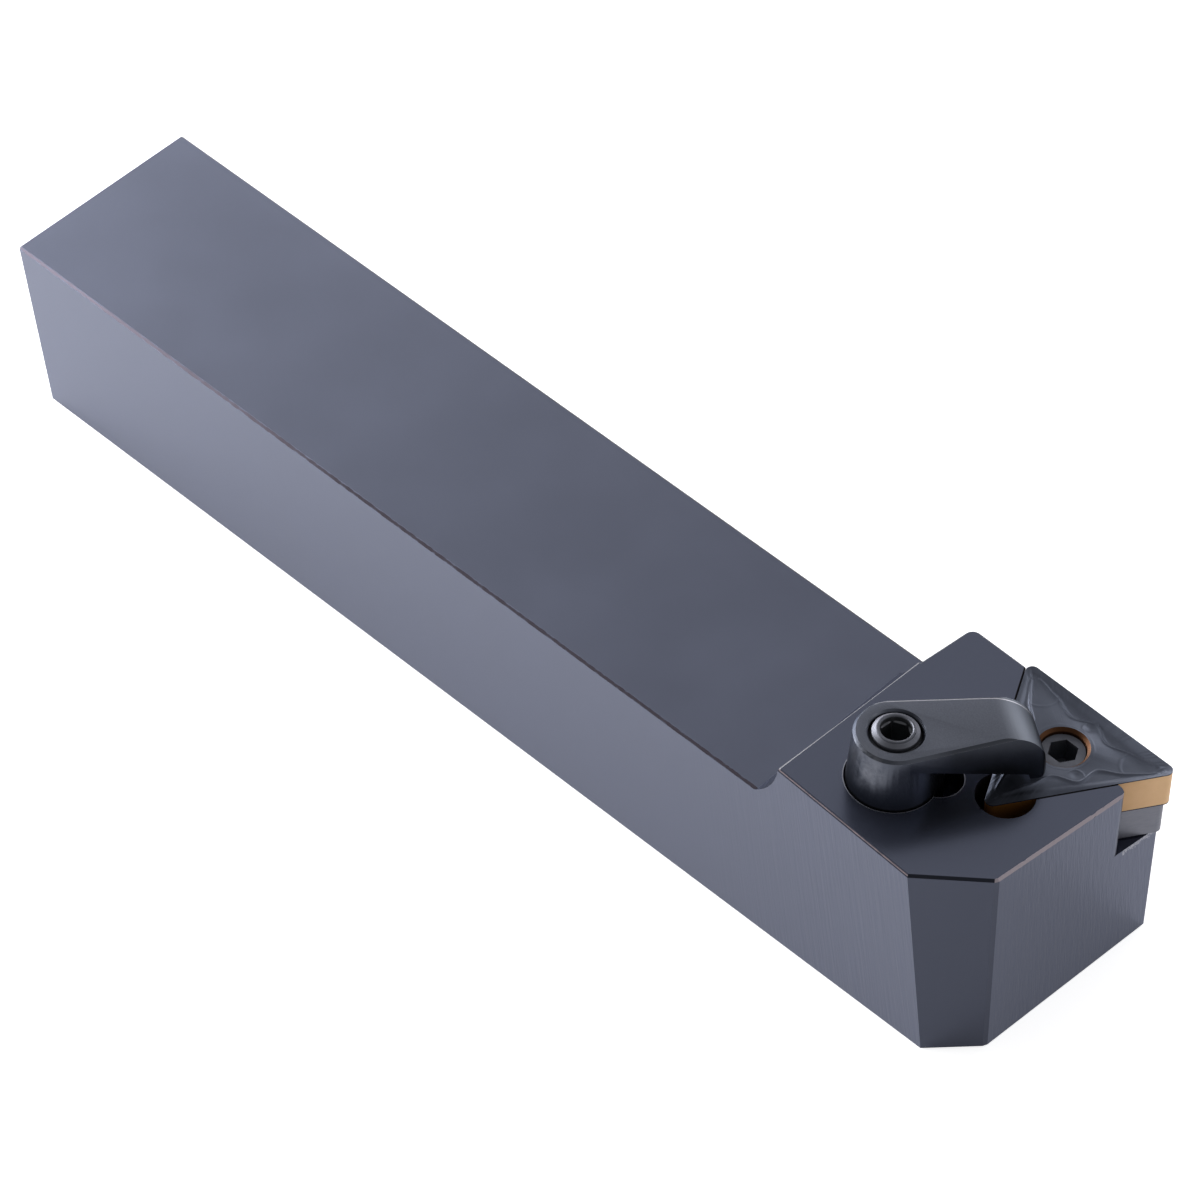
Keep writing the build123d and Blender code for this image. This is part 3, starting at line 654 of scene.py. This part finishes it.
# The roll, where the finger bends down, takes a lighter tone.
forth = add_node(tree, "VectorMath", (normal, ALONG), operation="DOT_PRODUCT")
rolled = add_node(tree, "MapRange", {"Value": forth, "From Min": 0.05, "From Max": 0.35})
still_up = add_node(tree, "MapRange", {"Value": upward, "From Min": 0.15, "From Max": 0.6})
roll = add_node(tree, "Math", (rolled, still_up), operation="MULTIPLY")
roll_toned = add_node(tree, "Mix", (roll, body, linear("#6d717a")), data_type="RGBA")

# A painted highlight lies as a white hairline along the far rim of the finger.
from_foot = add_node(tree, "VectorMath", (place, SCREW_FOOT), operation="SUBTRACT")
far_off = add_node(tree, "VectorMath", (from_foot, in_plane(FAR_TURN)), operation="DOT_PRODUCT")
far_line = add_node(tree, "Math", (far_off, FAR_RIM, 1.1 * LINE), operation="COMPARE")
on_roll = add_node(tree, "Math", (upward, 0.3), operation="GREATER_THAN")
far_rim_highlight = add_node(tree, "Math", (far_line, on_roll), operation="MULTIPLY")
edged = add_node(tree, "Mix", (far_rim_highlight, roll_toned, linear("#cdcdd5")), data_type="RGBA")
tone = add_node(tree, "Mix", (worn, edged, linear("#80838c")), data_type="RGBA")

# The sides are glossier than the top, where the scale's grain stands out most.
gloss = add_node(tree, "MapRange", {"Value": cloud, "To Min": 0.28, "To Max": 0.34})
topmost = add_node(tree, "MapRange", {"Value": upward, "From Min": 0.1, "From Max": 0.9})
rough = add_node(tree, "Mix", (topmost, gloss, 0.45))
relief = add_node(tree, "MapRange", {"Value": topmost, "To Min": 0.04, "To Max": 0.2})
bump = add_node(tree, "Bump", {"Height": scale, "Strength": relief, "Distance": 0.01 * MM})
shader = add_node(tree, "BsdfPrincipled", {
    "Base Color": tone, "Metallic": 0.95, "Roughness": rough,
    "Specular Tint": linear("#8c8c8c"), "Normal": bump,
})
add_node(tree, "OutputMaterial", (shader,))

# The rims that the oxide has worn off are bright but uneven. A painted highlight makes the far ones
# whitest, and painted shade darkens the ones at the back, away from the cut.
rim_steel, tree, place = new_material("rubbed_rims_and_painted_light")
cloud = add_node(tree, "TexNoise", {
    "Vector": place, "Scale": 1 / (5 * SCALE_SIZE), "Detail": 4.0, "Roughness": 0.7,
})
tone = add_node(tree, "ValToRGB", {"Fac": cloud})
tone.color_ramp.elements[0].position = 0.35
tone.color_ramp.elements[0].color = linear("#666974")
tone.color_ramp.elements[1].position = 0.65
tone.color_ramp.elements[1].color = linear("#9c9ea6")
normal = add_node(tree, "TexCoord").outputs["Normal"]
sideways = add_node(tree, "VectorMath", (normal, UP.cross(ALONG)), operation="DOT_PRODUCT")
far = add_node(tree, "MapRange", {"Value": sideways, "From Min": 0.02, "From Max": 0.15})
back = add_node(tree, "VectorMath", (normal, -ALONG), operation="DOT_PRODUCT")
rear_rims = add_node(tree, "MapRange", {"Value": back, "From Min": 0.1, "From Max": 0.4})
far_highlight = add_node(tree, "Mix", (far, tone, linear("#e6e6ec")), data_type="RGBA")
back_shade = add_node(tree, "Mix", (rear_rims, far_highlight, linear("#484b56")), data_type="RGBA")
shader = add_node(tree, "BsdfPrincipled", {
    "Base Color": back_shade, "Metallic": 1.0, "Roughness": 0.42, "Specular Tint": linear("#a0a0a0"),
})
add_node(tree, "OutputMaterial", (shader,))
coat(clamp, forged, rim_steel)
tumble = clamp.modifiers.new("tumbled_edges", "BEVEL")
tumble.limit_method = "ANGLE"
tumble.angle_limit = radians(30)
tumble.width = TUMBLED
tumble.segments = 3
tumble.material = 1
bpy.ops.object.modifier_apply(modifier=tumble.name)
bpy.ops.object.shade_smooth_by_angle(angle=radians(35))
into_clamp = frame_at(SCREW_FOOT, ALONG, UP.cross(ALONG), UP).inverted()
for face in clamp.data.polygons:
    middle = into_clamp @ face.center
    if middle.z < CLAMP_TOP * 0.7 or middle.xy.length < BORE_RIM:
        face.material_index = 0                    # only the rims of the top are rubbed
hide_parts("clamp")
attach(clamp, "root")


# ---------------------------------------------------------------- clamp screw
# The clamp's screw is cut from blackened bar. Its threads are out of sight and are left out.
# Its end stands a little proud of the boss, with a turned cone, a raised rim and a hex socket.

SCREW_TOP, SCREW_LENGTH = 7.7 * MM, 24 * MM
KEY, KEY_DEPTH = 1.5 * MM / cos(pi / 6), 3 * MM    # hex socket: centre to a corner, and depth
TURN_STEPS = 96                                    # points round the screw
PROFILE = [
    # radius and height over the head's top, in mm, from the socket's round mouth outwards
    (1.73, 6.90), (1.73, 7.50), (1.79, 7.63), (1.86, 7.69), (1.94, 7.70),
    (2.04, 7.70), (2.10, 7.67), (2.14, 7.50), (2.20, 7.45), (2.50, 7.26),
    (2.58, 7.20), (2.62, 7.08), (2.62, 6.60), (2.84, 6.46),
]
MOUTH_HEIGHT = PROFILE[0][1] * MM
KEY_BELOW = 0.12 * MM                              # the hexagon begins this far under the mouth

screw = start("clamp_screw_turned", bpy.ops.mesh.primitive_circle_add, vertices=6, radius=KEY,
              location=(0, 0, MOUTH_HEIGHT - KEY_BELOW))
bpy.ops.mesh.select_all(action="SELECT")
bpy.ops.mesh.subdivide(number_cuts=TURN_STEPS // 6 - 1)
bpy.ops.mesh.select_all(action="SELECT")
bpy.ops.mesh.extrude_region_move(TRANSFORM_OT_translate={"value": (0, 0, -KEY_DEPTH)})
bpy.ops.mesh.edge_face_add()
bpy.ops.mesh.select_all(action="DESELECT")
bpy.ops.mesh.primitive_circle_add(
    vertices=TURN_STEPS, radius=PROFILE[0][0] * MM, location=(0, 0, MOUTH_HEIGHT))
pick(screw, "edges", lambda middle, edge: edge.is_boundary or edge.is_wire)
bpy.ops.mesh.bridge_edge_loops()
pick(screw, "edges", lambda middle, edge: edge.is_boundary)
for (radius, height), (next_radius, next_height) in zip(PROFILE, PROFILE[1:]):
    rise, grow = (next_height - height) * MM, next_radius / radius
    bpy.ops.mesh.extrude_region_move(TRANSFORM_OT_translate={"value": (0, 0, rise)})
    bpy.ops.transform.resize(value=(grow, grow, 1), center_override=(0, 0, 0))
drop = SCREW_TOP - SCREW_LENGTH - PROFILE[-1][1] * MM
bpy.ops.mesh.extrude_region_move(TRANSFORM_OT_translate={"value": (0, 0, drop)})
bpy.ops.mesh.edge_face_add()
bpy.ops.mesh.select_all(action="SELECT")
bpy.ops.mesh.normals_make_consistent(inside=False)
bpy.ops.object.mode_set(mode="OBJECT")
bpy.ops.object.shade_smooth_by_angle(angle=radians(28))

# Inside the socket and down in the bore the black oxide is painted darker as shade, even and nearly
# matt.
socket_shade_black, tree, place = new_material("socket_shade_black_steel")
soot = add_node(tree, "TexNoise", {"Vector": place, "Scale": 1 / (4 * TOOL_MARKS), "Detail": 3.0})
tone = add_node(tree, "ValToRGB", {"Fac": soot})
tone.color_ramp.elements[0].color = linear("#5f6167")
tone.color_ramp.elements[1].color = linear("#6c6e73")
shader = add_node(tree, "BsdfPrincipled", {
    "Base Color": tone, "Metallic": 0.9, "Roughness": 0.45,
})
add_node(tree, "OutputMaterial", (shader,))
coat(screw, turned_steel, socket_shade_black)
for face in screw.data.polygons:
    middle = screw.matrix_world @ face.center
    inside = middle.xy.length < PROFILE[1][0] * MM or middle.z < PROFILE[-2][1] * MM
    face.material_index = int(inside)
seat(screw, SCREW_FOOT, ALONG)
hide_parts("clamp_screw")
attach(screw, "root")


# ---------------------------------------------------------------- studio
# A wide white paper floor with soft lamps low round the tool and even light from all sides.
# The paper glows a little for the camera and in reflections, so it reads white in both.

FLOOR_SIZE = 4
CAMERA_GLOW, GLOSS_GLOW = 0.78, 0.23               # what the paper adds for the camera and in gloss
WORLD_LEVEL = 0.3

floor_material, tree, place = new_material("white_paper")
shader = add_node(tree, "BsdfDiffuse", {"Color": linear("#e8e8ea")})
path = add_node(tree, "LightPath")
camera_ray, glossy_ray = path.outputs["Is Camera Ray"], path.outputs["Is Glossy Ray"]
to_camera = add_node(tree, "Math", (camera_ray, CAMERA_GLOW), operation="MULTIPLY")
in_gloss = add_node(tree, "Math", (glossy_ray, GLOSS_GLOW), operation="MULTIPLY")
seen = add_node(tree, "Math", (to_camera, in_gloss), operation="ADD")
glow = add_node(tree, "Emission", {"Color": linear("#ffffff"), "Strength": seen})
both = add_node(tree, "AddShader", (shader, glow))
add_node(tree, "OutputMaterial", (both,))
bpy.ops.mesh.primitive_plane_add(size=FLOOR_SIZE)
floor = bpy.context.object
floor.name = "floor"
floor.data.materials.append(floor_material)

# Square lamps stand round the tool, all at one distance and height, and face its middle.
LAMPS_AIM = Vector((0.02, 0, 0.015))
LAMP_DISTANCE, LAMP_SIZE, LAMP_RISE = 0.55, 0.35, radians(12)
LAMPS = [
    # name, degrees round from the head's front, and power in watts
    ("right", 30, 0.4),
    ("back", 90, 0.9),
    ("back_left", 150, 1.2),
    ("left", 180, 5.6),
    ("near_left", 210, 3.3),
]
for name, degrees, power in LAMPS:
    round_by = radians(degrees)
    out = Vector((cos(round_by) * cos(LAMP_RISE), sin(round_by) * cos(LAMP_RISE), sin(LAMP_RISE)))
    lamp = bpy.data.lights.new(name, "AREA")
    lamp.size = LAMP_SIZE
    lamp.energy = power
    lamp_object = bpy.data.objects.new(name, lamp)
    lamp_object.location = LAMPS_AIM + out * LAMP_DISTANCE
    lamp_object.rotation_euler = out.to_track_quat("Z", "Y").to_euler()
    bpy.context.scene.collection.objects.link(lamp_object)

world = bpy.data.worlds.new("studio")
world.use_nodes = True
background = world.node_tree.nodes["Background"]
background.inputs["Color"].default_value = linear("#ffffff")
background.inputs["Strength"].default_value = WORLD_LEVEL
bpy.context.scene.world = world

# The camera is the one that the straight edges in the photo give: its focal length in pixels of
# the 1200 pixel frame, its place, and the directions of its right, down and ahead.
FOCAL_PIXELS, FRAME_PIXELS, FILM_WIDTH = 7942.95, 1200, 36
CAMERA_PLACE = Vector((0.51648, -0.35807, 0.65089))
RIGHT = Vector((0.6695678, 0.7351095, -0.1062683))
DOWN = Vector((0.4868143, -0.5423924, -0.6847060))
AHEAD = Vector((-0.5609730, 0.4067242, -0.7210303))
camera_data = bpy.data.cameras.new("camera")
camera_data.sensor_width = FILM_WIDTH
camera_data.lens = FOCAL_PIXELS / FRAME_PIXELS * FILM_WIDTH
camera_data.clip_start = 0.05
camera_data.clip_end = 10
camera = bpy.data.objects.new("camera", camera_data)
camera.matrix_world = frame_at(CAMERA_PLACE, RIGHT, -DOWN, -AHEAD)
bpy.context.scene.collection.objects.link(camera)
bpy.context.scene.camera = camera
bpy.context.scene.view_settings.view_transform = "Standard"
